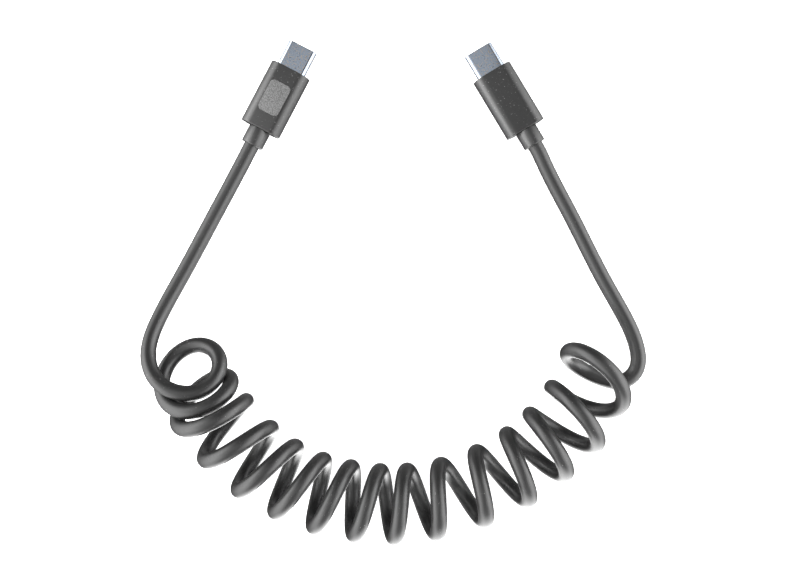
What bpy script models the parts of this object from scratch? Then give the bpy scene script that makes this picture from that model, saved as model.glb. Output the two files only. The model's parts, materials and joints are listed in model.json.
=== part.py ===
"""Coiled USB-C to USB-C cable, lying loose on a level surface.

Two moulded plugs, two straight leads and one long curly stretch that sags in a U between them.
Units are metres and +Z is up. The surface is z = 0, and the origin lies on it, midway between the plugs.
+X runs from the left plug to the right one, and +Y points the way the plugs point.
"""

import math

import bmesh
import bpy
import numpy as np

MM = 0.001

# The cord, and the curly stretch that it is wound into
CORD_DIAMETER = 4.2 * MM
CORD_RADIUS = CORD_DIAMETER / 2
FIRST_TURN_LIFT = 7.4 * MM
LIFT_FADE = 1.5
LIFTED_FROM_TURN = 0.5
LIFTED_TO_TURN = 2.0

# The curly stretch: turn number, its axis's x and y in mm, heading and forward lean in degrees, and
# the turn's radius in mm at the middle of the cord
COIL_STATIONS = [
    (0.5, -55.5, -70.1, -85, 70, 8.7),
    (1.0, -54.5, -73.8, -79, 64, 8.6),
    (2.0, -51.5, -80.5, -69, 31, 8.8),
    (3.0, -46.4, -87.3, -55.5, 8, 8.8),
    (4.0, -39.0, -95.5, -46, -0.5, 8.9),
    (5.0, -31.1, -101.4, -35.5, -2.5, 8.8),
    (6.0, -22.4, -105.7, -25.5, -2.5, 8.8),
    (7.0, -13.5, -108.2, -15, -2.5, 8.7),
    (8.0, -4.3, -109.5, -5, -2.5, 8.7),
    (9.0, 4.6, -109.4, 6.5, -2.5, 8.7),
    (9.5, 9.5, -108.8, 12, -2.5, 8.7),
    (10.0, 15.1, -107.6, 17.5, -2.5, 8.7),
    (11.0, 26.0, -103.7, 27, -1, 8.7),
    (12.0, 35.4, -98.3, 36, 1.5, 8.8),
    (13.0, 43.0, -91.9, 47, 5, 8.9),
    (14.0, 49.7, -84.0, 53.5, 12, 9.1),
    (15.0, 54.9, -73.6, 60, 28, 9.2),
    (15.5, 57.6, -68.6, 60, 36, 9.2),
]
COIL_FIRST_TURN = 1
COIL_LAST_TURN = 15
COIL_SIDES = 24

# The straight leads, from the plug towards the curly stretch: x, y and z in mm
LEFT_LEAD_POINTS = [
    (-40.9, -18.1, 3.1),
    (-48.7, -32.8, 3.3),
    (-57.4, -49.3, 4.2),
    (-62.8, -60.2, 6.6),
    (-65.0, -68.2, 9.6),
    (-64.9, -71.9, 11.4),
    (-62.6, -76.2, 13.0),
]
RIGHT_LEAD_POINTS = [
    (39.5, -14.5, 3.1),
    (41.2, -18.0, 2.9),
    (49.2, -33.4, 2.3),
    (57.7, -50.0, 2.1),
    (62.6, -58.7, 2.1),
    (66.5, -67.5, 2.1),
    (66.4, -74.9, 2.1),
    (62.6, -77.8, 2.1),
    (58.5, -77.9, 2.1),
]
LEAD_POINT_SPACING = 2 * CORD_DIAMETER
LEAD_BEVEL_RESOLUTION = 2

# The plugs: where the middle of each housing's front face lies, and which way each one points
PLUG_PLACES = {
    "left": ((-27.7 * MM, 7.1 * MM), math.radians(-27.7)),
    "right": ((26.9 * MM, 6.5 * MM), math.radians(31.0)),
}

# The steel shell of a USB-C plug
SHELL_WIDTH = 8.25 * MM
SHELL_HEIGHT = 2.4 * MM
SHELL_WALL = 0.3 * MM
SHELL_EXPOSED = 7.2 * MM
SHELL_SEATED = 2.6 * MM
SHELL_LIP = 0.15 * MM

# The contact block inside the shell, with the slot that a port's tongue enters
BLOCK_SETBACK = 0.4 * MM
BLOCK_SIDE_WALL = 0.325 * MM
BLOCK_FACE_WALL = 0.375 * MM
SLOT_CORNER = 0.2 * MM
SLOT_DEPTH = 5.6 * MM

# The moulded housing. The left one has a blank pad that stands a little proud of its upper face
HOUSING_WIDTH = 11.5 * MM
HOUSING_HEIGHT = 6.2 * MM
HOUSING_LENGTH = 18.1 * MM
HOUSING_EDGE = 0.35 * MM
PAD_SIDE = "left"
PAD_WIDTH = 5.9 * MM
PAD_LENGTH = 8.3 * MM
PAD_CORNER = 1.2 * MM
PAD_RISE = 0.15 * MM
PAD_ROOT = 0.5 * MM

# The strain relief collar, with a spigot that sits in the housing
COLLAR_DIAMETER = 6.1 * MM
COLLAR_LENGTH = 4.9 * MM
COLLAR_EDGE = 0.5 * MM
SPIGOT_DIAMETER = 4.4 * MM
SPIGOT_LENGTH = 2.0 * MM

# Clearances between neighbouring pieces
NEST_GAP = 0.1 * MM
CORD_GAP = 0.3 * MM

# Facets in a quarter turn of every rounded outline, and in a rounded edge
ARC_STEPS = 6
EDGE_STEPS = 3
SHARP_FROM = math.radians(35)

AXIS_HEIGHT = HOUSING_HEIGHT / 2
COLLAR_END = HOUSING_LENGTH + COLLAR_LENGTH


def clear_scene():
    """Remove whatever the scene holds."""
    for item in list(bpy.data.objects):
        bpy.data.objects.remove(item, do_unlink=True)


def make_material(name, colour, roughness, metallic):
    """One plain surface."""
    material = bpy.data.materials.new(name)
    material.use_nodes = True
    surface = material.node_tree.nodes["Principled BSDF"]
    surface.inputs["Base Color"].default_value = (*colour, 1.0)
    surface.inputs["Roughness"].default_value = roughness
    surface.inputs["Metallic"].default_value = metallic
    return material


def outline(width, height, radius):
    """Points of a rounded rectangle, anticlockwise, whose facets touch its true sides and arcs."""
    step = math.pi / (2 * ARC_STEPS)
    reach = radius / math.cos(step / 2)
    points = []
    for index in range(4 * ARC_STEPS):
        angle = (index + 0.5) * step
        across = math.copysign(width / 2 - radius, math.cos(angle)) + reach * math.cos(angle)
        up = math.copysign(height / 2 - radius, math.sin(angle)) + reach * math.sin(angle)
        points.append((across, up))
    return points


def circle(diameter):
    """The size of a round outline, in the form that a section takes."""
    return diameter, diameter, diameter / 2


def inset(size, amount):
    """An outline's size, with every side moved in by amount."""
    width, height, radius = size
    return width - 2 * amount, height - 2 * amount, radius - amount


def rounded_end(place, inward, size, edge):
    """Sections that round an outline's end over: from the end face at place to the full outline."""
    sections = []
    for index in range(EDGE_STEPS + 1):
        angle = math.pi / 2 * index / EDGE_STEPS
        depth = edge * (1 - math.cos(angle))
        sections.append((place + inward * depth, inset(size, edge * (1 - math.sin(angle)))))
    return sections


def loft_mesh(name, rings, closed):
    """A mesh through rings of points. It ends in two caps, or it joins its last ring to its first."""
    mesh = bpy.data.meshes.new(name)
    shape = bmesh.new()
    loops = [[shape.verts.new(point) for point in ring] for ring in rings]
    sides = len(loops[0])
    pairs = list(zip(loops, loops[1:]))
    if closed:
        pairs.append((loops[-1], loops[0]))
    else:
        shape.faces.new(loops[0])
        shape.faces.new(loops[-1])
    for near, far in pairs:
        for index in range(sides):
            after = (index + 1) % sides
            shape.faces.new((near[index], near[after], far[after], far[index]))
    bmesh.ops.recalc_face_normals(shape, faces=shape.faces)
    shape.to_mesh(mesh)
    shape.free()
    mesh.shade_smooth()
    mesh.set_sharp_from_angle(angle=SHARP_FROM)
    return mesh


def add_object(name, data, material, parent=None):
    """Put a piece in the scene."""
    piece = bpy.data.objects.new(name, data)
    bpy.context.collection.objects.link(piece)
    if material:
        data.materials.append(material)
    piece.parent = parent
    return piece


def add_section_loft(name, sections, material, parent, closed=False):
    """A piece lofted through outlines that stand across the plug's own +Y axis."""
    rings = [[(x, place, z) for x, z in outline(*size)] for place, size in sections]
    return add_object(name, loft_mesh(name, rings, closed), material, parent)


def add_plug_frame(side):
    """The empty that carries a plug: at the middle of the housing's front face, +Y towards the tip."""
    (x, y), turn = PLUG_PLACES[side]
    frame = add_object("plug_" + side, None, None)
    frame.location = (x, y, AXIS_HEIGHT)
    frame.rotation_euler = (0, 0, turn)
    return frame


def add_shell(side, frame, material):
    """The drawn steel shell: a flat tube with a lip rounded on both sides, seated in the housing."""
    outer = (SHELL_WIDTH, SHELL_HEIGHT, SHELL_HEIGHT / 2)
    inner = inset(outer, SHELL_WALL)
    sections = [
        (-SHELL_SEATED, outer),
        (SHELL_EXPOSED - SHELL_LIP, outer),
        (SHELL_EXPOSED, inset(outer, SHELL_LIP / 2)),
        (SHELL_EXPOSED, inset(inner, -SHELL_LIP / 2)),
        (SHELL_EXPOSED - SHELL_LIP, inner),
        (-SHELL_SEATED, inner),
    ]
    return add_section_loft("plug_shell_" + side, sections, material, frame, closed=True)


def add_contact_block(side, frame, material):
    """The plastic block inside the shell, with the slot for a port's tongue."""
    bore = inset((SHELL_WIDTH, SHELL_HEIGHT, SHELL_HEIGHT / 2), SHELL_WALL)
    body = inset(bore, NEST_GAP)
    slot = (body[0] - 2 * BLOCK_SIDE_WALL, body[1] - 2 * BLOCK_FACE_WALL, SLOT_CORNER)
    front = SHELL_EXPOSED - BLOCK_SETBACK
    sections = [
        (-SHELL_SEATED, body),
        (front, body),
        (front, slot),
        (front - SLOT_DEPTH, slot),
    ]
    return add_section_loft("contact_block_" + side, sections, material, frame)


def add_pad_shape(side, frame):
    """The shape of the blank pad, with its root inside the housing."""
    size = (PAD_WIDTH, PAD_LENGTH, PAD_CORNER)
    middle = -HOUSING_LENGTH / 2
    heights = (HOUSING_HEIGHT / 2 - PAD_ROOT, HOUSING_HEIGHT / 2 + PAD_RISE)
    rings = [[(x, middle + y, z) for x, y in outline(*size)] for z in heights]
    name = "pad_shape_" + side
    shape = add_object(name, loft_mesh(name, rings, closed=False), None, frame)
    shape.hide_render = True
    shape.display_type = "WIRE"
    return shape


def add_housing(side, frame, material):
    """The grip: flat faces and round sides, a seat for the shell in front and one for the collar behind."""
    body = (HOUSING_WIDTH, HOUSING_HEIGHT, HOUSING_HEIGHT / 2)
    shell_seat = inset((SHELL_WIDTH, SHELL_HEIGHT, SHELL_HEIGHT / 2), -NEST_GAP)
    collar_seat = circle(SPIGOT_DIAMETER + 2 * NEST_GAP)
    front_end = rounded_end(0.0, -1, body, HOUSING_EDGE)
    rear_end = rounded_end(-HOUSING_LENGTH, 1, body, HOUSING_EDGE)
    sections = [(-SHELL_SEATED - NEST_GAP, shell_seat), (0.0, shell_seat)]
    sections += front_end
    sections += reversed(rear_end)
    sections += [(-HOUSING_LENGTH, collar_seat), (-HOUSING_LENGTH + SPIGOT_LENGTH, collar_seat)]
    housing = add_section_loft("plug_housing_" + side, sections, material, frame)
    if side == PAD_SIDE:
        pad = housing.modifiers.new("raised pad", "BOOLEAN")
        pad.operation = "UNION"
        pad.solver = "EXACT"
        pad.object = add_pad_shape(side, frame)
    return housing


def add_strain_relief(side, frame, material):
    """The short round collar that the cord leaves by."""
    body = circle(COLLAR_DIAMETER)
    spigot = circle(SPIGOT_DIAMETER)
    shoulder = -HOUSING_LENGTH - NEST_GAP
    spigot_tip = -HOUSING_LENGTH + SPIGOT_LENGTH - NEST_GAP
    sections = [(spigot_tip, spigot), (shoulder, spigot), (shoulder, body)]
    sections += reversed(rounded_end(-COLLAR_END, 1, body, COLLAR_EDGE))
    return add_section_loft("strain_relief_" + side, sections, material, frame)


def add_plug(side, materials):
    """One plug: shell, contact block, housing and strain relief on one empty."""
    frame = add_plug_frame(side)
    add_shell(side, frame, materials["steel"])
    add_contact_block(side, frame, materials["block"])
    add_housing(side, frame, materials["grip"])
    add_strain_relief(side, frame, materials["collar"])


def smooth_curve(knots, values, places):
    """Natural cubic spline through values at knots, read at places."""
    knots = np.asarray(knots, dtype=float)
    values = np.asarray(values, dtype=float)
    spans = np.diff(knots)
    count = len(knots)
    system = np.eye(count)
    bends = np.zeros_like(values)
    for index in range(1, count - 1):
        before = spans[index - 1]
        after = spans[index]
        system[index, index - 1:index + 2] = (before, 2 * (before + after), after)
        rise_after = (values[index + 1] - values[index]) / after
        rise_before = (values[index] - values[index - 1]) / before
        bends[index] = 6 * (rise_after - rise_before)
    bends = np.linalg.solve(system, bends)
    piece = np.clip(np.searchsorted(knots, places) - 1, 0, count - 2)
    span = spans[piece][:, None]
    near = (knots[piece + 1] - places)[:, None] / span
    far = (places - knots[piece])[:, None] / span
    curve = near * values[piece] + far * values[piece + 1]
    sag = (near ** 3 - near) * bends[piece] + (far ** 3 - far) * bends[piece + 1]
    return curve + sag * span ** 2 / 6


def collar_exit(side):
    """Where the cord's solid starts: on the plug's axis, one gap behind the strain relief."""
    (x, y), turn = PLUG_PLACES[side]
    back = COLLAR_END + CORD_GAP
    return x + back * math.sin(turn), y - back * math.cos(turn), AXIS_HEIGHT


def lead_route(side, hand_points):
    """Evenly spaced points on a smooth curve from the strain relief through the lead's own points."""
    points = [collar_exit(side)]
    points += [(x * MM, y * MM, z * MM) for x, y, z in hand_points]
    points = np.array(points)
    knots = np.concatenate([[0.0], np.cumsum(np.linalg.norm(np.diff(points, axis=0), axis=1))])
    count = math.ceil(knots[-1] / LEAD_POINT_SPACING) + 1
    return smooth_curve(knots, points, np.linspace(0.0, knots[-1], count))


def add_lead(side, hand_points, material):
    """One straight stretch of cord, a round tube with closed ends."""
    name = "cord_lead_" + side
    route = lead_route(side, hand_points)
    data = bpy.data.curves.new(name, "CURVE")
    data.dimensions = "3D"
    data.bevel_depth = CORD_RADIUS
    data.bevel_resolution = LEAD_BEVEL_RESOLUTION
    data.use_fill_caps = True
    spline = data.splines.new("POLY")
    spline.points.add(len(route) - 1)
    for point, place in zip(spline.points, route):
        point.co = (*place, 1.0)
    return add_object(name, data, material)


def coil_rings(turns):
    """For each turn number: the turn's centre, its level and upward directions, and its radius."""
    stations = np.array(COIL_STATIONS, dtype=float)
    read = smooth_curve(stations[:, 0], stations[:, 1:], turns)
    heading = np.radians(read[:, 2])
    lean = np.radians(read[:, 3])
    still_lifted = np.clip((LIFTED_TO_TURN - turns) / (LIFTED_TO_TURN - LIFTED_FROM_TURN), 0, None)
    radius = read[:, 4] * MM
    height = CORD_RADIUS + radius * np.cos(lean) + FIRST_TURN_LIFT * still_lifted ** LIFT_FADE
    centres = np.column_stack([read[:, 0] * MM, read[:, 1] * MM, height])
    flat = np.zeros_like(heading)
    level = np.column_stack([-np.sin(heading), np.cos(heading), flat])
    forward = np.column_stack([np.cos(heading), np.sin(heading), flat])
    upright = np.array([0.0, 0.0, 1.0])
    upward = np.cos(lean)[:, None] * upright + np.sin(lean)[:, None] * forward
    return centres, level, upward, radius


def add_coil(material):
    """The curly stretch: one fat tube of its outer diameter, whose rings lean as the turns do."""
    turns = np.arange(COIL_FIRST_TURN, COIL_LAST_TURN + 1)
    rings = []
    for centre, level, upward, radius in zip(*coil_rings(turns)):
        reach = radius + CORD_RADIUS
        ring = []
        for index in range(COIL_SIDES):
            angle = 2 * math.pi * index / COIL_SIDES
            ring.append(centre + reach * (math.cos(angle) * level + math.sin(angle) * upward))
        rings.append(ring)
    return add_object("cord_coil", loft_mesh("cord_coil", rings, closed=False), material)


def main():
    clear_scene()
    materials = {
        "steel": make_material("plated steel", (0.52, 0.55, 0.60), 0.32, 1.0),
        "block": make_material("contact block plastic", (0.02, 0.02, 0.022), 0.45, 0.0),
        "grip": make_material("grip plastic", (0.055, 0.055, 0.06), 0.5, 0.0),
        "collar": make_material("collar rubber", (0.05, 0.05, 0.052), 0.55, 0.0),
        "cord": make_material("cord jacket", (0.06, 0.06, 0.062), 0.38, 0.0),
    }
    for side in PLUG_PLACES:
        add_plug(side, materials)
    add_lead("left", LEFT_LEAD_POINTS, materials["cord"])
    add_coil(materials["cord"])
    add_lead("right", RIGHT_LEAD_POINTS, materials["cord"])


main()
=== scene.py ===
"""Coiled USB-C cable: the finished look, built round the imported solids.

Laid out as a Blender add-on. Sizes are metres in the frame's own axes: +X from the left plug to the
right one, +Y the way the plugs point, +Z up from the surface that the cable lies on.
"""

import json
import math

import bmesh
import bpy
import numpy as np
from bpy.props import FloatProperty, FloatVectorProperty, IntProperty, PointerProperty
from mathutils import Matrix, Vector

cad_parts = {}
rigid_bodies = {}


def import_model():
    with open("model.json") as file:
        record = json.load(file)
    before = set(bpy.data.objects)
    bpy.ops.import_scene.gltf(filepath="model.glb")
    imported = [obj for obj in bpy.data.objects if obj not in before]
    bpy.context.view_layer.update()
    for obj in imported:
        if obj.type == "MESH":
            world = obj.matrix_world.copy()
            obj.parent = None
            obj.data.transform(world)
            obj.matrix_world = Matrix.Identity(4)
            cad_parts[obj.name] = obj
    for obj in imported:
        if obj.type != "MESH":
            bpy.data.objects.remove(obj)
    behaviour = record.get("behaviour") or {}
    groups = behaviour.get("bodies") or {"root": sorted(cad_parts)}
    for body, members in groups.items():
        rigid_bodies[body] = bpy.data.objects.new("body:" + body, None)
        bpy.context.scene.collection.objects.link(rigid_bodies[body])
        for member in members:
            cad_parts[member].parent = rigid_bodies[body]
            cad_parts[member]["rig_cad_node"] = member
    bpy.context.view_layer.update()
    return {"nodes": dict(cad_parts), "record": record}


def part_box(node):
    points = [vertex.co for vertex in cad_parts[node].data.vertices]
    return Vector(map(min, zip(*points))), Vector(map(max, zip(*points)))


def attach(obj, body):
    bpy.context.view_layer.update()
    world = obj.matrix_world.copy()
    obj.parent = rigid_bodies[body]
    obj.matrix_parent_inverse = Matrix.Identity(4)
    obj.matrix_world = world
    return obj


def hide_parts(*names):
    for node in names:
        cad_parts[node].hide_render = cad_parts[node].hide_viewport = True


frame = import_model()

bl_info = {
    "name": "Coiled USB-C cable",
    "version": (1, 0, 0),
    "blender": (4, 5, 0),
    "location": "3D Viewport > Sidebar > Cable",
    "description": "Builds a coiled USB-C cable piece by piece, with a studio stage to show it on",
    "category": "Object",
}

MM = 0.001
QUARTER_TURN = math.pi / 2
SIDES = ("left", "right")
ROOT = "root"
MOUNTS = {mount["name"]: mount for mount in frame["record"]["mounts"]}

# Edges whose faces meet at more than this stay sharp in the shading
SHARP_ANGLE = math.radians(32)
ROUNDING_STEPS = 6

# The curly stretch: turn number, its axis's x and y in mm, heading and forward lean in degrees, and
# the turn's radius in mm at the middle of the cord
COIL_STATIONS = [
    (0.5, -55.4, -70.4, -85, 70, 8.7),
    (1.0, -54.5, -73.8, -79, 64, 8.6),
    (2.0, -51.4, -80.3, -69, 31, 8.9),
    (3.0, -46.4, -87.3, -55.5, 8, 9.0),
    (4.0, -39.0, -95.5, -46, -0.5, 9.05),
    (5.0, -31.1, -101.4, -35.5, -2.5, 8.8),
    (6.0, -22.4, -105.7, -25.5, -2.5, 8.8),
    (7.0, -13.5, -108.2, -15, -2.5, 8.7),
    (8.0, -4.3, -109.5, -5, -2.5, 8.7),
    (9.0, 4.6, -109.4, 6.5, -2.5, 8.7),
    (9.5, 9.5, -108.8, 12, -2.5, 8.7),
    (10.0, 15.1, -107.6, 17.5, -2.5, 8.7),
    (11.0, 26.0, -103.7, 27, -1, 8.7),
    (12.0, 35.4, -98.3, 36, 1.5, 8.8),
    (13.0, 43.0, -91.9, 47, 5, 8.9),
    (14.0, 49.7, -84.0, 53.5, 12, 9.1),
    (15.0, 54.9, -73.6, 60, 28, 9.2),
    (15.5, 57.6, -68.6, 60, 36, 9.2),
]
HELIX_FIRST_TURN = 0.8
HELIX_LAST_TURN = 15.2
HELIX_STEPS_PER_TURN = 24

# The first turns rest on the ones below them, so they stand higher than their lean alone gives
FIRST_TURN_LIFT = 7.4 * MM
LIFT_FADE = 1.5
LIFTED_FROM_TURN = 0.5
LIFTED_TO_TURN = 2.0

# The straight leads, from each plug towards the curly stretch: x, y and z in mm
LEAD_POINTS = {
    "left": [
        (-40.9, -18.1, 3.1),
        (-48.7, -32.8, 3.3),
        (-57.4, -49.3, 4.2),
        (-62.8, -60.2, 6.6),
        (-65.0, -68.2, 9.6),
        (-64.0, -73.6, 12.1),
        (-60.6, -77.8, 13.8),
    ],
    "right": [
        (39.5, -14.5, 3.1),
        (41.2, -18.0, 2.9),
        (49.2, -33.4, 2.3),
        (57.7, -50.0, 2.1),
        (62.6, -58.7, 2.1),
        (66.5, -67.5, 2.1),
        (66.4, -74.9, 2.1),
        (62.6, -77.8, 2.1),
        (58.5, -77.4, 2.1),
    ],
}
CORD_TUCK = 0.5 * MM
PATH_STEPS = 12000

# Seats between a plug's pieces
SEAT_GAP = 0.1 * MM
SEAT_DEPTH = 2.7 * MM
SPIGOT_SEAT = 4.6 * MM
SPIGOT_DEPTH = 2.0 * MM
SHOULDER_STEPS = 2

# The blank pad on the left housing: width, length and corner radius, then its height and edge
PAD_SIZE = (6.0 * MM, 9.0 * MM, 1.3 * MM)
PAD_RISE = 0.15 * MM
PAD_EDGE = 0.12 * MM
PAD_EDGE_STEPS = 5

# The slot in each contact block (width, height and corner radius), and the contacts along it
SLOT_SIZE = (6.8 * MM, 0.85 * MM, 0.2 * MM)
SLOT_DEPTH = 5.6 * MM
SLOT_CHAMFER = 0.12 * MM
CONTACT_COUNT = 12
CONTACT_PITCH = 0.5 * MM
CONTACT_WIDTH = 0.26 * MM
CONTACT_LENGTH = 3.6 * MM
CONTACT_SETBACK = 0.9 * MM
CONTACT_ROOT = 0.05 * MM
CONTACT_PROUD = 0.03 * MM
CONTACT_BOW = 0.16 * MM
BOWED_SHARE = 0.625
CONTACT_STEPS = 10

# Moulded surfaces: roughness, size and depth of the grain, and how much dust lies on it
BLOCK_SURFACE = {"roughness": 0.5, "grain_size": 0.1 * MM, "grain_depth": 0.004 * MM, "dust": 0.2}
GRIP_SURFACE = {"roughness": 0.30, "grain_size": 0.14 * MM, "grain_depth": 0.012 * MM, "dust": 0.27}
COLLAR_SURFACE = {"roughness": 0.32, "grain_size": 0.16 * MM, "grain_depth": 0.01 * MM, "dust": 0.25}
JACKET_SURFACE = {"roughness": 0.36, "grain_size": 0.16 * MM, "grain_depth": 0.006 * MM, "dust": 0.24}
MOTTLE_SIZE = 6 * MM
MOTTLE_SPREAD = 0.14
DUST_SIZE = 0.35 * MM
DUST_STRENGTH = 0.5
DUST_COLOUR = (0.30, 0.30, 0.30)

# The stipple on the pad, and the marks on the plated pieces
STIPPLE_SIZE = 0.3 * MM
STIPPLE_DEPTH = 0.04 * MM
STIPPLE_SPREAD = 0.45
STIPPLE_ROUGHNESS = 0.62
SPECKLE_SIZE = 0.25 * MM
SPECKLE_DEPTH = 0.002 * MM
SPECKLE_SPREAD = 0.25
STEEL_ROUGHNESS = 0.15
PATCH_SIZE = 1.6 * MM
STAIN_SIZE = 0.45 * MM
STAIN_STRENGTH = 0.6
STAIN_COLOUR = (0.42, 0.36, 0.30)
PIT_SIZE = 0.6 * MM
PIT_STRENGTH = 0.45
GOLD_ROUGHNESS = 0.24
WIPE_MARK_SIZE = 0.2 * MM

# Camera of the photograph: level with its middle, looking straight down
PHOTO_CENTRE = (0.0001, -0.0537)
CAMERA_HEIGHT = 0.3006
CAMERA_LENS = 50.0
CAMERA_SENSOR = 36.0
CAMERA_NEAREST = 0.01

FLOOR_HALF_SIZE = 2.5
FLOOR_TONE_SIZE = 90 * MM

# Softboxes: the near one stands left of the plugs, the far ones left and right of the whole cable
PLUGS_MIDDLE = Vector((0.0, 0.0, 0.003))
NEAR_SOFTBOX = Vector((-0.15, 0.0, 0.09))
NEAR_SOFTBOX_SIZE = (0.34, 0.16)
FAR_SOFTBOXES = {"left softbox": Vector((-0.60, 0.0, 0.28)), "right softbox": Vector((0.60, 0.0, 0.22))}
FAR_SOFTBOX_SIZE = (0.80, 0.30)

# The sky's walls, each under the setting for its brightness. A wall lies one way (x and y), reaches
# round from there, and has a top. Those at the sides have a bottom too. Each of these edges is a
# level and a softness.
SKY_WALLS = {
    "left_light": {"way": (-0.99, -0.139), "reach": (0.62, 0.6), "top": (0.8, 0.6), "bottom": (-0.3, 1.1)},
    "right_light": {"way": (1.0, 0.0), "reach": (0.7, 0.45), "top": (0.8, 0.3), "bottom": (-0.32, 1.15)},
    "front_light": {"way": (0.17, -0.985), "reach": (0.8, 0.45), "top": (0.8, 0.3)},
    "apron_light": {"way": (0.17, -0.985), "reach": (0.8, 0.45), "top": (-0.02, 0.5)},
    "back_light": {"way": (0.0, 1.0), "reach": (0.7, 0.4), "top": (-0.3, 0.6)},
}
# The patch of light overhead: how high it starts, and how far right it reaches
OVERHEAD_START = (0.9, 0.1)
OVERHEAD_RIGHT_EDGE = (0.15, 0.08)


class CableCordSettings(bpy.types.PropertyGroup):
    """Sizes and colour of the cord."""

    diameter: FloatProperty(
        name="Diameter", description="Outside diameter of the cord", default=4.2 * MM, unit="LENGTH"
    )
    length: FloatProperty(
        name="Length", description="Real length of the cord between the plugs", default=0.98, unit="LENGTH"
    )
    sides: IntProperty(name="Sides", description="Faces round the cord", default=28)
    ring_spacing: FloatProperty(
        name="Ring spacing", description="Distance between rings of faces", default=0.8 * MM, unit="LENGTH"
    )
    colour: FloatVectorProperty(
        name="Colour", description="Jacket colour", default=(0.015, 0.015, 0.015), subtype="COLOR"
    )


class CablePlugSettings(bpy.types.PropertyGroup):
    """Sizes and colours of the plugs that the solids don't give."""

    arc_steps: IntProperty(name="Arc steps", description="Faces in a quarter turn of an outline", default=20)
    edge_radius: FloatProperty(
        name="Edge radius", description="Rounding of the housing's ends", default=0.22 * MM, unit="LENGTH"
    )
    collar_edge: FloatProperty(
        name="Collar edge", description="Rounding of the strain relief's end", default=0.3 * MM, unit="LENGTH"
    )
    shell_wall: FloatProperty(
        name="Shell wall", description="Thickness of the steel shell", default=0.3 * MM, unit="LENGTH"
    )
    seam_depth: FloatProperty(
        name="Seam depth", description="Depth of the parting line along the housing", default=0.05 * MM,
        unit="LENGTH",
    )
    grip_colour: FloatVectorProperty(
        name="Grip colour", description="Housing colour", default=(0.013, 0.013, 0.013), subtype="COLOR"
    )
    pad_colour: FloatVectorProperty(
        name="Pad colour", description="Colour of the blank pad", default=(0.074, 0.074, 0.074),
        subtype="COLOR",
    )
    block_colour: FloatVectorProperty(
        name="Contact block colour", description="Colour of the plastic inside the shell",
        default=(0.012, 0.012, 0.013), subtype="COLOR",
    )
    steel_colour: FloatVectorProperty(
        name="Steel colour", description="Shell colour", default=(0.28, 0.32, 0.38), subtype="COLOR"
    )
    gold_colour: FloatVectorProperty(
        name="Contact colour", description="Plating of the contacts", default=(0.86, 0.62, 0.28),
        subtype="COLOR",
    )


class CableStageSettings(bpy.types.PropertyGroup):
    """Light and floor."""

    floor_colour: FloatVectorProperty(
        name="Floor colour", description="Colour of the floor", default=(0.86, 0.86, 0.86), subtype="COLOR"
    )
    floor_glow: FloatProperty(
        name="Floor glow", description="Light that the pale floor gives off by itself", default=0.9
    )
    left_light: FloatProperty(name="Left light", description="Brightness of the left wall", default=4.9)
    right_light: FloatProperty(name="Right light", description="Brightness of the right wall", default=5.0)
    front_light: FloatProperty(name="Front light", description="Brightness of the front wall", default=0.8)
    apron_light: FloatProperty(
        name="Apron light", description="Brightness below the horizon in front", default=5.2
    )
    back_light: FloatProperty(name="Back light", description="Brightness of the back wall", default=0.3)
    top_light: FloatProperty(name="Top light", description="Brightness straight overhead", default=0.9)
    dim_light: FloatProperty(name="Dim light", description="Brightness between the lit places", default=0.06)
    near_softbox_light: FloatProperty(
        name="Near softbox light", description="Brightness of the softbox left of the plugs", default=3.0
    )
    far_softbox_light: FloatProperty(
        name="Far softbox light", description="Brightness of the softboxes left and right", default=1.2
    )


class Wire:
    """The output of a node, which Python's operators extend with Math nodes."""

    def __init__(self, paint, socket):
        self.paint = paint
        self.socket = socket

    def maths(self, operation, *values):
        return self.paint.node("ShaderNodeMath", {"operation": operation}, dict(enumerate(values)))

    def __add__(self, other):
        return self.maths("ADD", self, other)

    def __radd__(self, other):
        return self.maths("ADD", other, self)

    def __sub__(self, other):
        return self.maths("SUBTRACT", self, other)

    def __rsub__(self, other):
        return self.maths("SUBTRACT", other, self)

    def __mul__(self, other):
        return self.maths("MULTIPLY", self, other)

    def __rmul__(self, other):
        return self.maths("MULTIPLY", other, self)

    def above(self, level, softness):
        """0 below level, 1 above it, with a smooth step between them."""
        settings = {"interpolation_type": "SMOOTHSTEP"}
        values = {"Value": self, "From Min": level - softness / 2, "From Max": level + softness / 2}
        return self.paint.node("ShaderNodeMapRange", settings, values, "Result")

    def below(self, level, softness):
        """1 below level, 0 above it, with a smooth step between them."""
        return 1 - self.above(level, softness)


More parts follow.
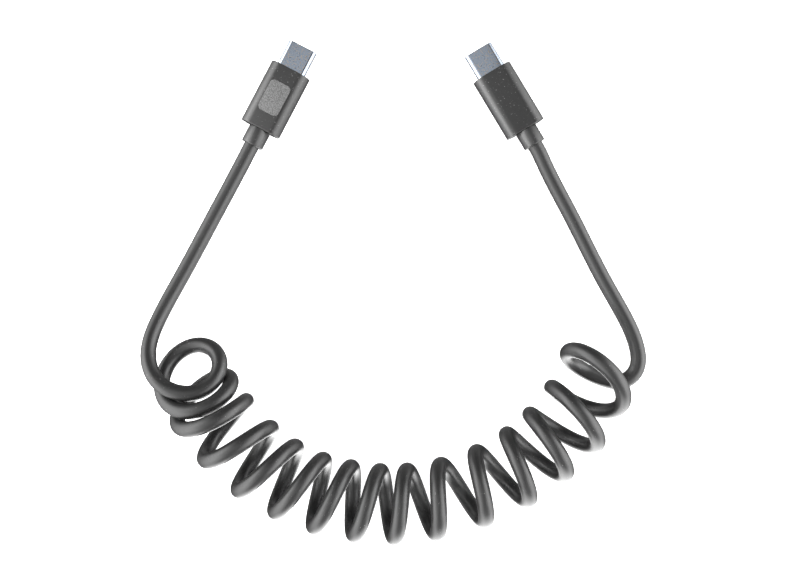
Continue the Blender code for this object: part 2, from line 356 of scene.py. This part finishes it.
class Paint:
    """A node tree that is being written, with one method for all of its nodes."""

    # The Mix node's sockets for colours, which share their names with those for numbers
    FIRST_COLOUR, SECOND_COLOUR, MIXED_COLOUR = 6, 7, 2

    def __init__(self, tree):
        self.tree = tree

    def node(self, kind, settings, values, output=0):
        """Add a node: its settings first, then its sockets' values or links. Gives one output."""
        made = self.tree.nodes.new(kind)
        for name, setting in settings.items():
            setattr(made, name, setting)
        for name, value in values.items():
            self.feed(made.inputs[name], value)
        return Wire(self, made.outputs[output])

    def feed(self, socket, value):
        if isinstance(value, Wire):
            self.tree.links.new(value.socket, socket)
        else:
            socket.default_value = value

    def place(self):
        return self.node("ShaderNodeTexCoord", {}, {}, "Object")

    def noise(self, place, size, detail=2.0, roughness=0.5):
        """Soft noise whose patches are about size across, from 0 to 1."""
        values = {"Vector": place, "Scale": 1 / size, "Detail": detail, "Roughness": roughness}
        return self.node("ShaderNodeTexNoise", {}, values, "Fac")

    def cells(self, place, size):
        """Distance from the middle of scattered cells that are about size across."""
        return self.node("ShaderNodeTexVoronoi", {}, {"Vector": place, "Scale": 1 / size}, "Distance")

    def part(self, vector, axis):
        """One of a vector's three parts: X, Y or Z."""
        return self.node("ShaderNodeSeparateXYZ", {}, {"Vector": vector}, axis)

    def blend(self, factor, first, second):
        """A colour between two colours."""
        values = {
            "Factor": factor,
            self.FIRST_COLOUR: as_colour(first),
            self.SECOND_COLOUR: as_colour(second),
        }
        return self.node("ShaderNodeMix", {"data_type": "RGBA"}, values, self.MIXED_COLOUR)

    def wander(self, factor, colour, spread):
        """A colour that grows darker and paler than its own by a share."""
        return self.blend(factor, toned(colour, 1 - spread), toned(colour, 1 + spread))

    def bump(self, height, depth):
        return self.node("ShaderNodeBump", {}, {"Height": height, "Distance": depth}, "Normal")


def as_colour(value):
    """A colour with its alpha, or a wire as it is."""
    if isinstance(value, Wire):
        return value
    return (*value[:3], 1.0)


def toned(colour, share):
    """A colour made darker, or paler when the share is over 1."""
    return tuple(part * share for part in colour[:3])


def new_surface(name, sockets):
    """A material whose constant values stand on the shader's own sockets."""
    material = bpy.data.materials.new(name)
    material.use_nodes = True
    shader = material.node_tree.nodes["Principled BSDF"]
    for socket, value in sockets.items():
        shader.inputs[socket].default_value = value
    return material, Paint(material.node_tree), shader


def moulded_finish(name, colour, roughness, grain_size, grain_depth, dust):
    """Moulded plastic or rubber: a fine matt grain, faint mottling and a few specks of dust."""
    material, paint, shader = new_surface(name, {"IOR": 1.5})
    place = paint.place()
    mottle = paint.noise(place, MOTTLE_SIZE, 3.0)
    grain = paint.noise(place, grain_size, 3.0, 0.65)
    specks = paint.noise(place, DUST_SIZE, 1.0).above(1 - dust, 0.04)
    base = paint.wander(mottle, colour, MOTTLE_SPREAD)
    dusty = paint.blend(specks * DUST_STRENGTH, base, DUST_COLOUR)
    paint.feed(shader.inputs["Base Color"], dusty)
    paint.feed(shader.inputs["Roughness"], roughness + 0.10 * (grain - 0.5) + 0.05 * (mottle - 0.5))
    paint.feed(shader.inputs["Normal"], paint.bump(grain, grain_depth))
    return material


def stippled_finish(name, colour):
    """The coarse stipple of a textured panel, its tone wandering with the grain and paler on its raised
    points.
    """
    material, paint, shader = new_surface(name, {"IOR": 1.5})
    place = paint.place()
    points = 1 - paint.cells(place, STIPPLE_SIZE)
    grain = paint.noise(place, STIPPLE_SIZE, 2.0, 0.6)
    height = points + 0.5 * grain
    # Paler where the grain runs high, and a little paler on the stipple's raised points
    shade = (grain + 0.4 * (points - 0.5)).above(0.5, 0.5)
    paint.feed(shader.inputs["Base Color"], paint.wander(shade, colour, STIPPLE_SPREAD))
    paint.feed(shader.inputs["Roughness"], STIPPLE_ROUGHNESS + 0.12 * (grain - 0.5))
    paint.feed(shader.inputs["Normal"], paint.bump(height, STIPPLE_DEPTH))
    return material


def plated_finish(name, colour):
    """Plated steel: a bead-blasted sheen with fine speckles, some of them warm."""
    material, paint, shader = new_surface(name, {"Metallic": 1.0})
    place = paint.place()
    speckle = paint.noise(place, SPECKLE_SIZE, 3.0, 0.7)
    patch = paint.noise(place, PATCH_SIZE)
    stains = paint.noise(place, STAIN_SIZE, 1.5).above(0.60, 0.10)
    pits = paint.noise(place, PIT_SIZE, 1.5).below(0.36, 0.08)
    speckled = paint.wander(speckle, colour, SPECKLE_SPREAD)
    pitted = paint.blend(pits * PIT_STRENGTH, speckled, toned(colour, 0.35))
    stained = paint.blend(stains * STAIN_STRENGTH, pitted, STAIN_COLOUR)
    sheen = STEEL_ROUGHNESS + 0.08 * (speckle - 0.5) + 0.04 * (patch - 0.5)
    paint.feed(shader.inputs["Base Color"], stained)
    paint.feed(shader.inputs["Roughness"], sheen)
    paint.feed(shader.inputs["Normal"], paint.bump(speckle, SPECKLE_DEPTH))
    return material


def gold_finish(name, colour):
    """Thin gold plating with faint wiping marks."""
    material, paint, shader = new_surface(name, {"Metallic": 1.0})
    marks = paint.noise(paint.place(), WIPE_MARK_SIZE, 3.0)
    paint.feed(shader.inputs["Base Color"], paint.blend(marks, toned(colour, 0.85), colour))
    paint.feed(shader.inputs["Roughness"], GOLD_ROUGHNESS + 0.14 * marks)
    return material


def floor_finish(settings):
    """A pale, even floor that gives off some light."""
    sockets = {
        "Roughness": 0.9,
        "Specular IOR Level": 0.0,
        "Emission Color": (1.0, 1.0, 1.0, 1.0),
        "Emission Strength": settings.floor_glow,
    }
    material, paint, shader = new_surface("pale floor", sockets)
    tone = paint.noise(paint.place(), FLOOR_TONE_SIZE)
    pale = paint.blend(tone, toned(settings.floor_colour, 0.99), settings.floor_colour)
    paint.feed(shader.inputs["Base Color"], pale)
    return material


def rounded_outline(width, height, radius, steps, seam=0.0):
    """Points round a rectangle with round corners, anticlockwise, with an optional seam in each side."""
    points = []
    for index in range(4 * steps):
        angle = (index + 0.5) * QUARTER_TURN / steps
        across = math.copysign(width / 2 - radius, math.cos(angle)) + radius * math.cos(angle)
        up = math.copysign(height / 2 - radius, math.sin(angle)) + radius * math.sin(angle)
        points.append((across, up))
    if not seam:
        return points
    lips = [(width / 2, -seam), (width / 2 - seam, 0.0), (width / 2, seam)]
    far_lips = [(-x, -up) for x, up in lips]
    half = 2 * steps
    return lips[1:] + points[:half] + far_lips + points[half:] + lips[:1]


def round_size(diameter):
    """The width, height and corner radius of a round section."""
    return diameter, diameter, diameter / 2


def flat_size(low, high):
    """The width, height and corner radius of a section with full round sides."""
    height = high.z - low.z
    return high.x - low.x, height, height / 2


def moved_in(size, amount):
    """A section's size with its whole outline moved inwards."""
    width, height, radius = size
    return width - 2 * amount, height - 2 * amount, radius - amount


def rounded_end(place, inward, size, edge, steps=ROUNDING_STEPS):
    """Sections that round a piece's end over, from its end face to its full outline.

    With inward turned round and a negative edge, the sections flare the mouth of a hole.
    """
    sections = []
    for index in range(steps + 1):
        angle = QUARTER_TURN * index / steps
        depth = inward * edge * (1 - math.cos(angle))
        sections.append((place + depth, moved_in(size, edge * (1 - math.sin(angle)))))
    return sections


def add_skin(shape, rings, closed=False):
    """Add faces through rings of points, capped at both ends unless they close on themselves."""
    loops = [[shape.verts.new(point) for point in ring] for ring in rings]
    pairs = list(zip(loops, loops[1:]))
    if closed:
        pairs.append((loops[-1], loops[0]))
    else:
        shape.faces.new(loops[0])
        shape.faces.new(loops[-1])
    for near, far in pairs:
        for index in range(len(near)):
            after = (index + 1) % len(near)
            shape.faces.new((near[index], near[after], far[after], far[index]))


def finished_mesh(name, shape):
    """The mesh of a bmesh, smooth but for its sharp edges."""
    bmesh.ops.recalc_face_normals(shape, faces=shape.faces)
    mesh = bpy.data.meshes.new(name)
    shape.to_mesh(mesh)
    shape.free()
    mesh.shade_smooth()
    mesh.set_sharp_from_angle(angle=SHARP_ANGLE)
    return mesh


def loft(name, rings, closed=False):
    """A mesh through rings of points."""
    shape = bmesh.new()
    add_skin(shape, rings, closed)
    return finished_mesh(name, shape)


def section_loft(name, sections, steps, closed=False, seam=0.0):
    """A mesh lofted through outlines that stand across the plug's axis."""
    rings = []
    for place, size in sections:
        rings.append([(x, place, z) for x, z in rounded_outline(*size, steps, seam)])
    return loft(name, rings, closed)


def add_object(name, data):
    """Put a new object in the scene."""
    made = bpy.data.objects.new(name, data)
    bpy.context.scene.collection.objects.link(made)
    return made


def add_piece(name, mesh, material, axes=None, stands_for=()):
    """Put a piece in the scene, on the cable's own body, and say which solids it stands for."""
    piece = add_object(name, mesh)
    mesh.materials.append(material)
    if axes is not None:
        piece.matrix_world = axes
    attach(piece, ROOT)
    if stands_for:
        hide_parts(*stands_for)
    return piece


def plug_axes(side):
    """A plug's own axes: the middle of its housing's front face, with +Y towards its tip."""
    mount = MOUNTS["port_end_" + side]
    low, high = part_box("strain_relief_" + side)
    turn = math.atan2(-mount["axis"][0], mount["axis"][1])
    x, y, _ = mount["pos_m"]
    return Matrix.Translation((x, y, (low.z + high.z) / 2)) @ Matrix.Rotation(turn, 4, "Z")


def solid_reach(node, axes):
    """The lowest and highest corner of a solid along a plug's own axes."""
    back = axes.inverted()
    points = np.array([back @ vertex.co for vertex in frame["nodes"][node].data.vertices])
    return Vector(points.min(axis=0)), Vector(points.max(axis=0))


def smooth_curve(knots, values, places):
    """Natural cubic spline through values at knots, read at places."""
    knots = np.asarray(knots, dtype=float)
    values = np.asarray(values, dtype=float)
    spans = np.diff(knots)
    count = len(knots)
    system = np.eye(count)
    bends = np.zeros_like(values)
    for index in range(1, count - 1):
        before = spans[index - 1]
        after = spans[index]
        system[index, index - 1:index + 2] = (before, 2 * (before + after), after)
        rise_after = (values[index + 1] - values[index]) / after
        rise_before = (values[index] - values[index - 1]) / before
        bends[index] = 6 * (rise_after - rise_before)
    bends = np.linalg.solve(system, bends)
    piece = np.clip(np.searchsorted(knots, places) - 1, 0, count - 2)
    span = spans[piece][:, None]
    near = (knots[piece + 1] - places)[:, None] / span
    far = (places - knots[piece])[:, None] / span
    curve = near * values[piece] + far * values[piece + 1]
    sag = (near ** 3 - near) * bends[piece] + (far ** 3 - far) * bends[piece + 1]
    return curve + sag * span ** 2 / 6


def helix_points(cord):
    """The middle of the cord along the curly stretch, turn by turn."""
    count = round((HELIX_LAST_TURN - HELIX_FIRST_TURN) * HELIX_STEPS_PER_TURN) + 1
    turns = np.linspace(HELIX_FIRST_TURN, HELIX_LAST_TURN, count)
    stations = np.array(COIL_STATIONS, dtype=float)
    x, y, heading, lean, radius = smooth_curve(stations[:, 0], stations[:, 1:], turns).T
    heading = np.radians(heading)
    lean = np.radians(lean)
    radius = radius * MM
    still_lifted = np.clip((LIFTED_TO_TURN - turns) / (LIFTED_TO_TURN - LIFTED_FROM_TURN), 0, None)
    height = cord.diameter / 2 + radius * np.cos(lean) + FIRST_TURN_LIFT * still_lifted ** LIFT_FADE
    centres = np.column_stack([x * MM, y * MM, height])
    flat = np.zeros_like(heading)
    level = np.column_stack([-np.sin(heading), np.cos(heading), flat])
    forward = np.column_stack([np.cos(heading), np.sin(heading), flat])
    upward = np.cos(lean)[:, None] * np.array([0.0, 0.0, 1.0]) + np.sin(lean)[:, None] * forward
    angle = 2 * math.pi * turns
    return centres + radius[:, None] * (np.cos(angle)[:, None] * level - np.sin(angle)[:, None] * upward)


def lead_points(side):
    """A lead's points: out of the strain relief along the plug's axis, then along the lead."""
    axes = plug_axes(side)
    low, _ = solid_reach("strain_relief_" + side, axes)
    points = [axes @ Vector((0.0, low.y + CORD_TUCK, 0.0)), axes @ Vector((0.0, low.y, 0.0))]
    return np.array([*points, *(Vector(point) * MM for point in LEAD_POINTS[side])])


def travelled(points):
    """How far along a line of points each of them lies."""
    return np.concatenate([[0.0], np.cumsum(np.linalg.norm(np.diff(points, axis=0), axis=1))])


def evenly(points, spacing):
    """Points about spacing apart along one smooth curve through the given ones."""
    knots = travelled(points)
    fine = smooth_curve(knots, points, np.linspace(0.0, knots[-1], PATH_STEPS))
    marks = travelled(fine)
    places = np.linspace(0.0, marks[-1], math.ceil(marks[-1] / spacing) + 1)
    return np.column_stack([np.interp(places, marks, fine[:, axis]) for axis in range(3)])


def cord_path(cord):
    """The middle of the whole cord, from the left plug to the right one."""
    left = lead_points("left")
    right = lead_points("right")[::-1]
    path = evenly(np.vstack([left, helix_points(cord), right]), cord.ring_spacing)
    path[:, 2] = np.maximum(path[:, 2], cord.diameter / 2)
    return path


def tube(name, path, radius, sides):
    """A round tube along a path, whose rings don't twist."""
    ahead = np.gradient(path, axis=0)
    ahead /= np.linalg.norm(ahead, axis=1)[:, None]
    across = np.cross(ahead[0], (0.0, 0.0, 1.0))
    angles = np.arange(sides) * 2 * math.pi / sides
    rings = []
    for place, way in zip(path, ahead):
        across = across - way * np.dot(across, way)
        across /= np.linalg.norm(across)
        up = np.cross(across, way)
        rings.append(place + radius * (np.cos(angles)[:, None] * across + np.sin(angles)[:, None] * up))
    return loft(name, rings)


class CABLE_OT_build_stage(bpy.types.Operator):
    """Add the floor, the softboxes, the sky and the camera"""

    bl_idname = "cable.build_stage"
    bl_label = "Stage"

    def execute(self, context):
        settings = context.scene.cable_stage
        add_floor(settings)
        add_softboxes(settings)
        add_sky(context.scene, settings)
        add_camera(context.scene)
        context.scene.view_settings.view_transform = "Standard"
        return {"FINISHED"}


def add_floor(settings):
    """A large level floor, which the shiny pieces don't mirror."""
    mesh = bpy.data.meshes.new("floor")
    shape = bmesh.new()
    bmesh.ops.create_grid(shape, x_segments=1, y_segments=1, size=FLOOR_HALF_SIZE)
    shape.to_mesh(mesh)
    shape.free()
    mesh.materials.append(floor_finish(settings))
    floor = add_object("floor", mesh)
    floor.visible_glossy = False


def add_softboxes(settings):
    """The softboxes left and right of the cable, and the one beside its plugs."""
    middle = Vector((*PHOTO_CENTRE, 0.0))
    for name, offset in FAR_SOFTBOXES.items():
        add_softbox(name, middle + offset, middle, FAR_SOFTBOX_SIZE, settings.far_softbox_light)
    place = PLUGS_MIDDLE + NEAR_SOFTBOX
    near = add_softbox("near softbox", place, PLUGS_MIDDLE, NEAR_SOFTBOX_SIZE, settings.near_softbox_light)
    near.light_linking.receiver_collection = bpy.data.collections.new("near softbox receivers")


def add_softbox(name, place, aim, size, radiance):
    """A soft rectangular light of an even brightness, out of the camera's sight."""
    lamp = bpy.data.lights.new(name, "AREA")
    lamp.shape = "RECTANGLE"
    lamp.size, lamp.size_y = size
    lamp.energy = radiance * math.pi * size[0] * size[1]
    holder = add_object(name, lamp)
    holder.location = place
    holder.rotation_euler = (aim - place).to_track_quat("-Z", "Y").to_euler()
    holder.visible_camera = False
    return holder


def spare_from_near_softbox(piece):
    """Keep the softbox beside the plugs off a piece that lies mostly beyond it."""
    receivers = bpy.data.objects["near softbox"].light_linking.receiver_collection
    receivers.objects.link(piece)
    receivers.collection_objects[0].light_linking.link_state = "EXCLUDE"


def add_sky(scene, settings):
    """Light by direction: pale walls left, right and in front, dim overhead and behind.

    Each wall takes up part of the round, and its own range of heights. The camera sees it all pale.
    """
    world = bpy.data.worlds.new("studio")
    world.use_nodes = True
    scene.world = world
    paint = Paint(world.node_tree)
    direction = paint.node("ShaderNodeTexCoord", {}, {}, "Generated")
    height = paint.part(direction, "Z")
    flat = paint.node("ShaderNodeVectorMath", {"operation": "MULTIPLY"}, {0: direction, 1: (1.0, 1.0, 0.0)})
    way = paint.node("ShaderNodeVectorMath", {"operation": "NORMALIZE"}, {0: flat})
    across = paint.part(way, "X")
    depth = paint.part(way, "Y")
    overhead = height.above(*OVERHEAD_START) * paint.part(direction, "X").below(*OVERHEAD_RIGHT_EDGE)
    lit = settings.dim_light + settings.top_light * overhead
    for light, wall in SKY_WALLS.items():
        lit = lit + getattr(settings, light) * sky_wall(across, depth, height, **wall)
    seen = paint.node("ShaderNodeLightPath", {}, {}, "Is Camera Ray")
    background = world.node_tree.nodes["Background"]
    background.inputs["Color"].default_value = (1.0, 1.0, 1.0, 1.0)
    paint.feed(background.inputs["Strength"], seen + (1 - seen) * lit)


def sky_wall(across, depth, height, way, reach, top, bottom=None):
    """How much of a wall shows in a direction: 1 in its middle, 0 past its soft edges."""
    share = (way[0] * across + way[1] * depth).above(*reach) * height.below(*top)
    if bottom:
        share = share * height.above(*bottom)
    return share


def add_camera(scene):
    """The photograph's camera: straight above, with the picture's top along +Y."""
    lens = bpy.data.cameras.new("camera")
    lens.lens = CAMERA_LENS
    lens.sensor_width = CAMERA_SENSOR
    lens.clip_start = CAMERA_NEAREST
    holder = add_object("camera", lens)
    holder.location = (*PHOTO_CENTRE, CAMERA_HEIGHT)
    scene.camera = holder


class CABLE_OT_build_shells(bpy.types.Operator):
    """Add the steel shell of each plug"""

    bl_idname = "cable.build_shells"
    bl_label = "Plug shells"

    def execute(self, context):
        settings = context.scene.cable_plug
        finish = plated_finish("plated steel", settings.steel_colour)
        for side in SIDES:
            add_shell(side, settings, finish)
        return {"FINISHED"}


def add_shell(side, settings, finish):
    """A flat steel tube with a full round mouth."""
    node = "plug_shell_" + side
    axes = plug_axes(side)
    low, high = solid_reach(node, axes)
    outer = flat_size(low, high)
    inner = moved_in(outer, settings.shell_wall)
    lip = settings.shell_wall / 2
    sections = [(low.y, outer)]
    sections += reversed(rounded_end(high.y, -1, outer, lip))
    sections += rounded_end(high.y, 1, inner, -lip)
    sections.append((low.y, inner))
    mesh = section_loft(node + "_steel", sections, settings.arc_steps, closed=True)
    add_piece(node + "_steel", mesh, finish, axes, [node])


class CABLE_OT_build_contact_blocks(bpy.types.Operator):
    """Add the plastic block inside each shell, with its contacts"""

    bl_idname = "cable.build_contact_blocks"
    bl_label = "Contact blocks"

    def execute(self, context):
        settings = context.scene.cable_plug
        plastic = moulded_finish("contact block plastic", settings.block_colour, **BLOCK_SURFACE)
        gold = gold_finish("contact plating", settings.gold_colour)
        for side in SIDES:
            add_contact_block(side, settings, plastic)
            add_contacts(side, gold)
        return {"FINISHED"}


def add_contact_block(side, settings, finish):
    """A block that fills the shell, with the slot for a port's tongue in its front."""
    node = "contact_block_" + side
    axes = plug_axes(side)
    low, high = solid_reach(node, axes)
    body = flat_size(low, high)
    sections = [
        (low.y, body),
        (high.y, body),
        (high.y, moved_in(SLOT_SIZE, -SLOT_CHAMFER)),
        (high.y - SLOT_CHAMFER, SLOT_SIZE),
        (high.y - SLOT_DEPTH, SLOT_SIZE),
    ]
    mesh = section_loft(node + "_plastic", sections, settings.arc_steps)
    add_piece(node + "_plastic", mesh, finish, axes, [node])


def add_contacts(side, finish):
    """Two rows of sprung contacts, one along each face of the slot."""
    axes = plug_axes(side)
    _, high = solid_reach("contact_block_" + side, axes)
    front = high.y - CONTACT_SETBACK
    wall = SLOT_SIZE[1] / 2
    for row, sign in (("upper", 1), ("lower", -1)):
        shape = bmesh.new()
        for index in range(CONTACT_COUNT):
            middle = (index - (CONTACT_COUNT - 1) / 2) * CONTACT_PITCH
            add_finger(shape, middle, front, sign * wall, -sign)
        name = "contacts_" + side + "_" + row
        add_piece(name, finished_mesh(name, shape), finish, axes)


def add_finger(shape, middle, front, wall, inward):
    """One contact: a thin strip that bows out of the slot's face near its tip."""
    left = middle - CONTACT_WIDTH / 2
    right = middle + CONTACT_WIDTH / 2
    root = wall - inward * CONTACT_ROOT
    rings = []
    for index in range(CONTACT_STEPS + 1):
        along = index / CONTACT_STEPS
        bow = CONTACT_BOW * math.sin(math.pi * min(1.0, along / BOWED_SHARE))
        face = wall + inward * (CONTACT_PROUD + bow)
        place = front - along * CONTACT_LENGTH
        rings.append([(left, place, root), (right, place, root), (right, place, face), (left, place, face)])
    add_skin(shape, rings)


class CABLE_OT_build_housings(bpy.types.Operator):
    """Add the moulded grip of each plug, and the blank pad on the left one"""

    bl_idname = "cable.build_housings"
    bl_label = "Plug housings"

    def execute(self, context):
        settings = context.scene.cable_plug
        grip = moulded_finish("grip plastic", settings.grip_colour, **GRIP_SURFACE)
        for side in SIDES:
            add_housing(side, settings, grip)
        add_pad(settings)
        return {"FINISHED"}


def housing_size(side, axes):
    """The housing's outline and its rear end, from its solid."""
    low, high = solid_reach("plug_housing_" + side, axes)
    height = -2 * low.z
    return (high.x - low.x, height, height / 2), low.y


def add_housing(side, settings, finish):
    """The grip: flat faces, round sides with a parting line, softened ends and a seat at each end."""
    node = "plug_housing_" + side
    axes = plug_axes(side)
    body, rear = housing_size(side, axes)
    shell_seat = moved_in(flat_size(*solid_reach("plug_shell_" + side, axes)), -SEAT_GAP)
    collar_seat = round_size(SPIGOT_SEAT)
    sections = [(-SEAT_DEPTH, shell_seat), (0.0, shell_seat)]
    sections += rounded_end(0.0, -1, body, settings.edge_radius)
    sections += reversed(rounded_end(rear, 1, body, settings.edge_radius))
    sections += [(rear, collar_seat), (rear + SPIGOT_DEPTH, collar_seat)]
    mesh = section_loft(node + "_grip", sections, settings.arc_steps, seam=settings.seam_depth)
    add_piece(node + "_grip", mesh, finish, axes, [node])


def add_pad(settings):
    """The blank, stippled pad that stands a little proud of the left housing's upper face."""
    axes = plug_axes("left")
    body, rear = housing_size("left", axes)
    top = body[1] / 2
    sections = [(top - PAD_RISE, PAD_SIZE)]
    sections += reversed(rounded_end(top + PAD_RISE, -1, PAD_SIZE, PAD_EDGE, PAD_EDGE_STEPS))
    rings = []
    for height, size in sections:
        outline = rounded_outline(*size, settings.arc_steps // 2)
        rings.append([(x, rear / 2 + y, height) for x, y in outline])
    finish = stippled_finish("stippled pad", settings.pad_colour)
    add_piece("blank_pad_left", loft("blank_pad_left", rings), finish, axes)


class CABLE_OT_build_strain_reliefs(bpy.types.Operator):
    """Add the collar behind each housing"""

    bl_idname = "cable.build_strain_reliefs"
    bl_label = "Strain reliefs"

    def execute(self, context):
        cord = context.scene.cable_cord
        rubber = moulded_finish("collar rubber", cord.colour, **COLLAR_SURFACE)
        for side in SIDES:
            add_strain_relief(side, context.scene.cable_plug, cord.diameter, rubber)
        return {"FINISHED"}


def add_strain_relief(side, settings, cord_diameter, finish):
    """A short round collar with a softened end, a spigot in the housing and a mouth for the cord."""
    node = "strain_relief_" + side
    axes = plug_axes(side)
    low, high = solid_reach(node, axes)
    _, rear = housing_size(side, axes)
    body = round_size(high.x - low.x)
    spigot = round_size(SPIGOT_SEAT - 2 * SEAT_GAP)
    mouth = round_size(cord_diameter + 2 * SEAT_GAP)
    shoulder = rear - SEAT_GAP
    sections = [(high.y, spigot), (shoulder, spigot)]
    sections += rounded_end(shoulder, -1, body, SEAT_GAP, SHOULDER_STEPS)
    sections += reversed(rounded_end(low.y, 1, body, settings.collar_edge))
    sections += [(low.y, mouth), (low.y + CORD_TUCK + SEAT_GAP, mouth)]
    mesh = section_loft(node + "_collar", sections, settings.arc_steps)
    add_piece(node + "_collar", mesh, finish, axes, [node])


class CABLE_OT_build_cord(bpy.types.Operator):
    """Add the cord: two leads and the curly stretch between them, in one piece"""

    bl_idname = "cable.build_cord"
    bl_label = "Cord"

    def execute(self, context):
        cord = context.scene.cable_cord
        path = cord_path(cord)
        mesh = tube("cord", path, cord.diameter / 2, cord.sides)
        jacket = moulded_finish("cord jacket", cord.colour, **JACKET_SURFACE)
        solids = ("cord_lead_left", "cord_coil", "cord_lead_right")
        piece = add_piece("cord", mesh, jacket, stands_for=solids)
        spare_from_near_softbox(piece)
        return {"FINISHED"}


class CABLE_PT_build(bpy.types.Panel):
    """Buttons and settings of the cable"""

    bl_idname = "CABLE_PT_build"
    bl_label = "Coiled cable"
    bl_space_type = "VIEW_3D"
    bl_region_type = "UI"
    bl_category = "Cable"

    def draw(self, context):
        layout = self.layout
        for operator in BUILD_ORDER:
            layout.operator(operator.bl_idname)
        for group in SETTINGS:
            settings = getattr(context.scene, group)
            box = layout.box()
            for name in settings.bl_rna.properties.keys():
                if name not in ("rna_type", "name"):
                    box.prop(settings, name)


BUILD_ORDER = (
    CABLE_OT_build_stage,
    CABLE_OT_build_shells,
    CABLE_OT_build_contact_blocks,
    CABLE_OT_build_housings,
    CABLE_OT_build_strain_reliefs,
    CABLE_OT_build_cord,
)
SETTINGS = {
    "cable_cord": CableCordSettings,
    "cable_plug": CablePlugSettings,
    "cable_stage": CableStageSettings,
}


def register():
    for kind in (*SETTINGS.values(), *BUILD_ORDER, CABLE_PT_build):
        bpy.utils.register_class(kind)
    for name, group in SETTINGS.items():
        setattr(bpy.types.Scene, name, PointerProperty(type=group))


def unregister():
    for name in SETTINGS:
        delattr(bpy.types.Scene, name)
    for kind in reversed((*SETTINGS.values(), *BUILD_ORDER, CABLE_PT_build)):
        bpy.utils.unregister_class(kind)


def main():
    register()
    for operator in BUILD_ORDER:
        family, action = operator.bl_idname.split(".")
        getattr(getattr(bpy.ops, family), action)()


if __name__ == "__main__":
    main()
